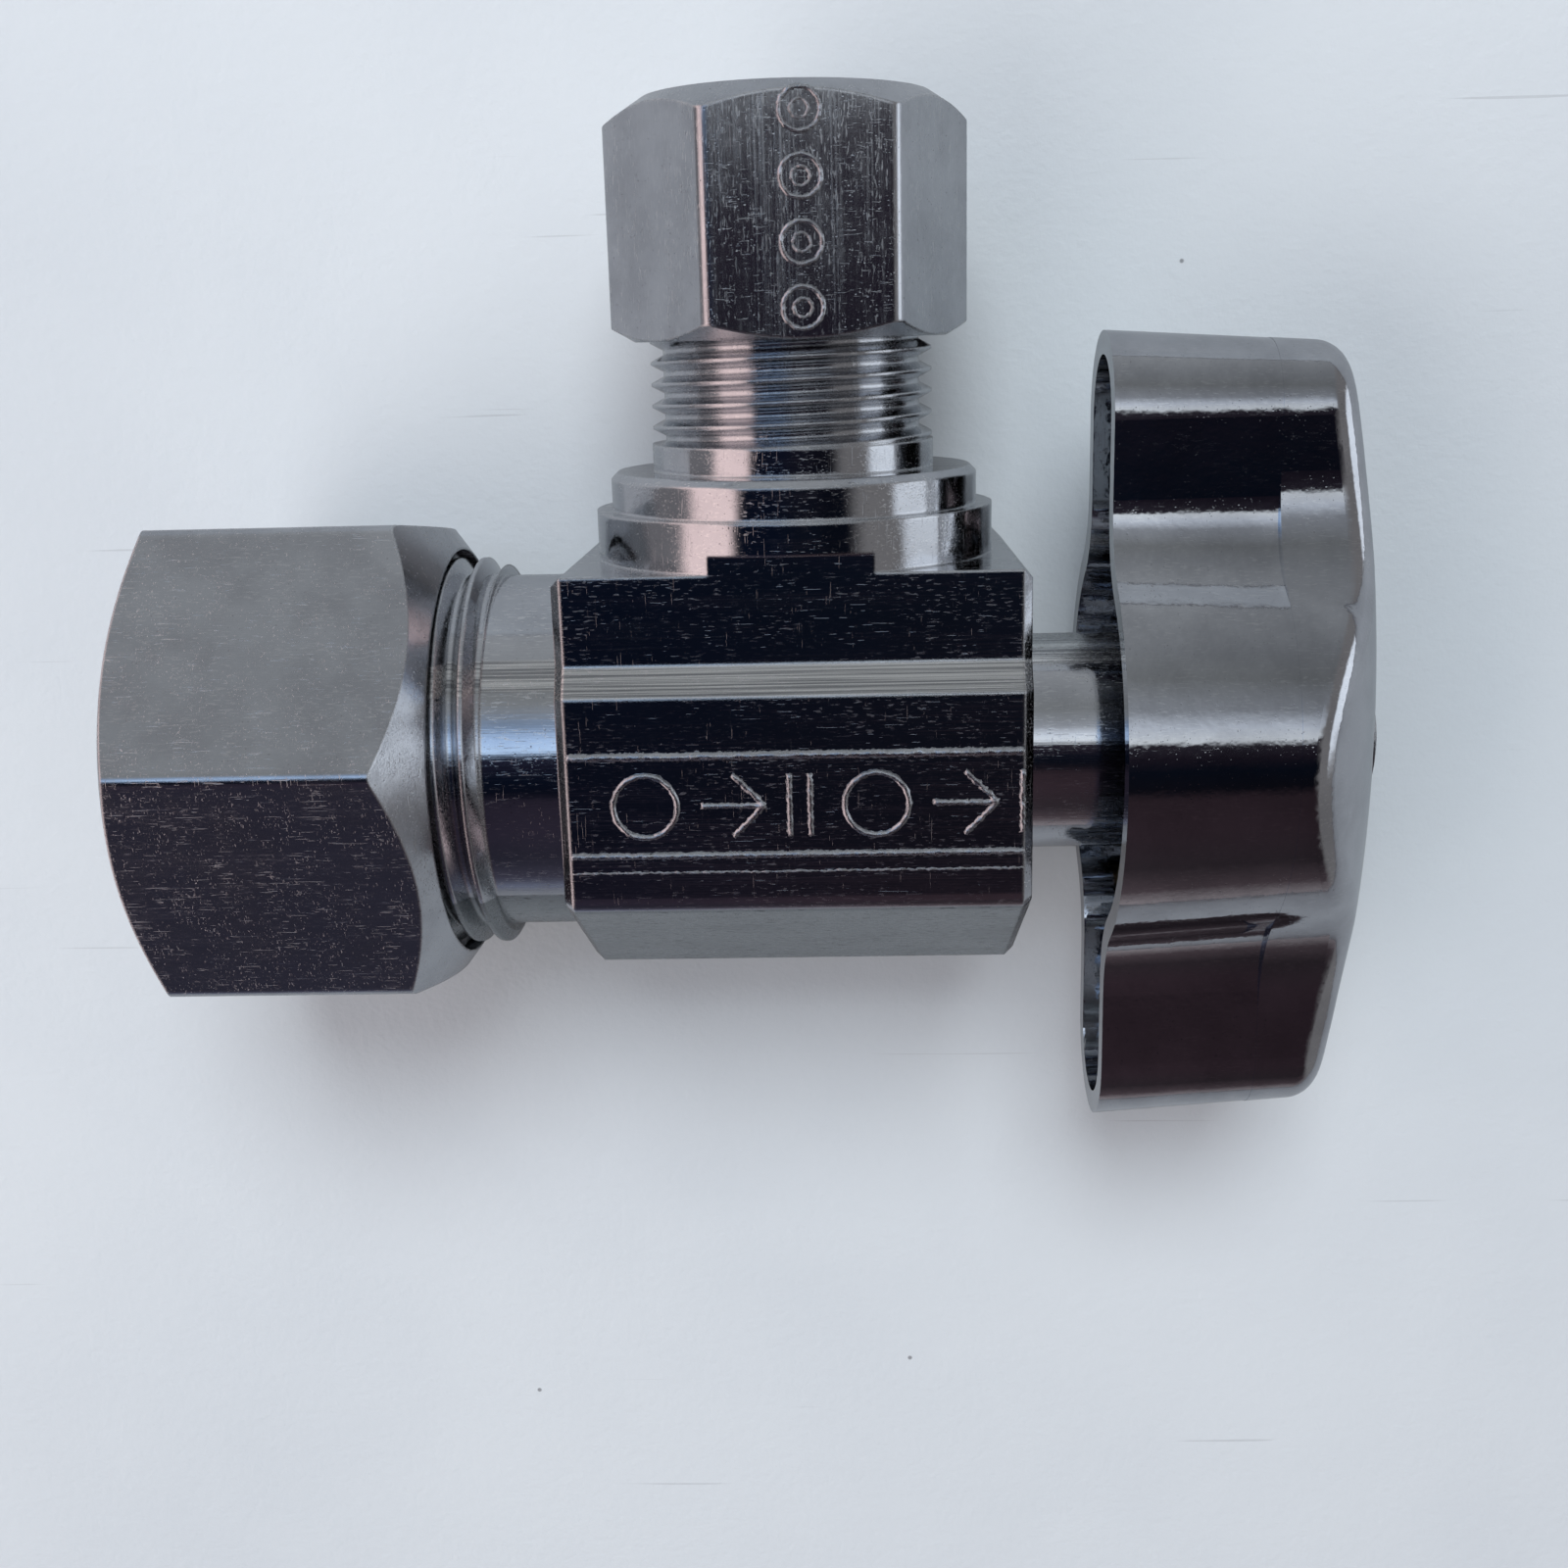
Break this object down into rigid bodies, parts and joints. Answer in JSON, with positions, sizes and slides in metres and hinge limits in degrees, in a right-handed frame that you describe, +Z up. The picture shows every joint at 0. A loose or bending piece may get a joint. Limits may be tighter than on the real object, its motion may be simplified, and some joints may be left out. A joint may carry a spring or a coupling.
{
  "type": "angle stop valve",
  "caption": "Chromed quarter-turn angle stop valve with compression nuts on a straight inlet and a side outlet, and an oval hollow handle.",
  "frame": {"origin": "on the inlet axis, at the shoulder where the supply tube stops inside the body", "axes": "+X along the inlet axis towards the handle, +Y along the outlet axis, +Z up while the valve lies on its back"},
  "size_m": [0.0637, 0.0539, 0.027],
  "materials": {
    "chrome_body": "polished chrome with fine turning and rolling marks",
    "chrome_nuts": "polished chrome with drawn lines and scratches",
    "chrome_handle": "polished chrome, slight orange peel",
    "chrome_ball": "mirror-smooth sealing ball",
    "steel_screw": "plated, slightly brushed",
    "brass_sleeve": "turned, bare",
    "brass_inside": "turned, bare",
    "seat_plastic": "waxy white",
    "black_rubber": "dull black"
  },
  "bodies": {
    "valve": {"valve_body": "chrome_body", "inlet_seat": "seat_plastic", "seat_backing_ring": "black_rubber", "seat_retainer": "brass_inside", "outlet_seat": "seat_plastic", "stem_side_seat": "seat_plastic", "dust_ring": "black_rubber"},
    "handle_and_stem": {"handle": "chrome_handle", "handle_screw": "steel_screw", "lock_washer": "steel_screw", "stop_washer": "steel_screw", "stem": "brass_inside", "stem_o_ring_inner": "black_rubber", "stem_o_ring_outer": "black_rubber", "stem_thrust_washer": "seat_plastic", "ball": "chrome_ball"},
    "inlet_sleeve": {"inlet_ferrule": "brass_sleeve"},
    "inlet_nut": {"inlet_nut": "chrome_nuts"},
    "outlet_sleeve": {"outlet_ferrule": "brass_sleeve"},
    "outlet_nut": {"outlet_nut": "chrome_nuts"}
  },
  "joints": [
    {"name": "handle_turn", "type": "hinge", "parent": "valve", "child": "handle_and_stem", "pos_m": [0, 0, 0], "axis": [1, 0, 0], "range_deg": [0, 90]},
    {"name": "inlet_sleeve_slide", "type": "slide", "parent": "valve", "child": "inlet_sleeve", "axis": [-1, 0, 0], "range_m": [0, 0.0092]},
    {"name": "inlet_nut_turn", "type": "hinge", "parent": "inlet_sleeve", "child": "inlet_nut", "pos_m": [0, 0, 0], "axis": [-1, 0, 0], "range_deg": [0, 2348]},
    {"name": "outlet_sleeve_slide", "type": "slide", "parent": "valve", "child": "outlet_sleeve", "axis": [0, 1, 0], "range_m": [0, 0.0066]},
    {"name": "outlet_nut_turn", "type": "hinge", "parent": "outlet_sleeve", "child": "outlet_nut", "pos_m": [0.0124, 0, 0], "axis": [0, 1, 0], "range_deg": [0, 2246]}
  ],
  "couplings": [
    {"joint": "inlet_nut_turn", "follows": "inlet_sleeve_slide", "rad_per_m": 4452.7},
    {"joint": "outlet_nut_turn", "follows": "outlet_sleeve_slide", "rad_per_m": 5936.9}
  ]
}
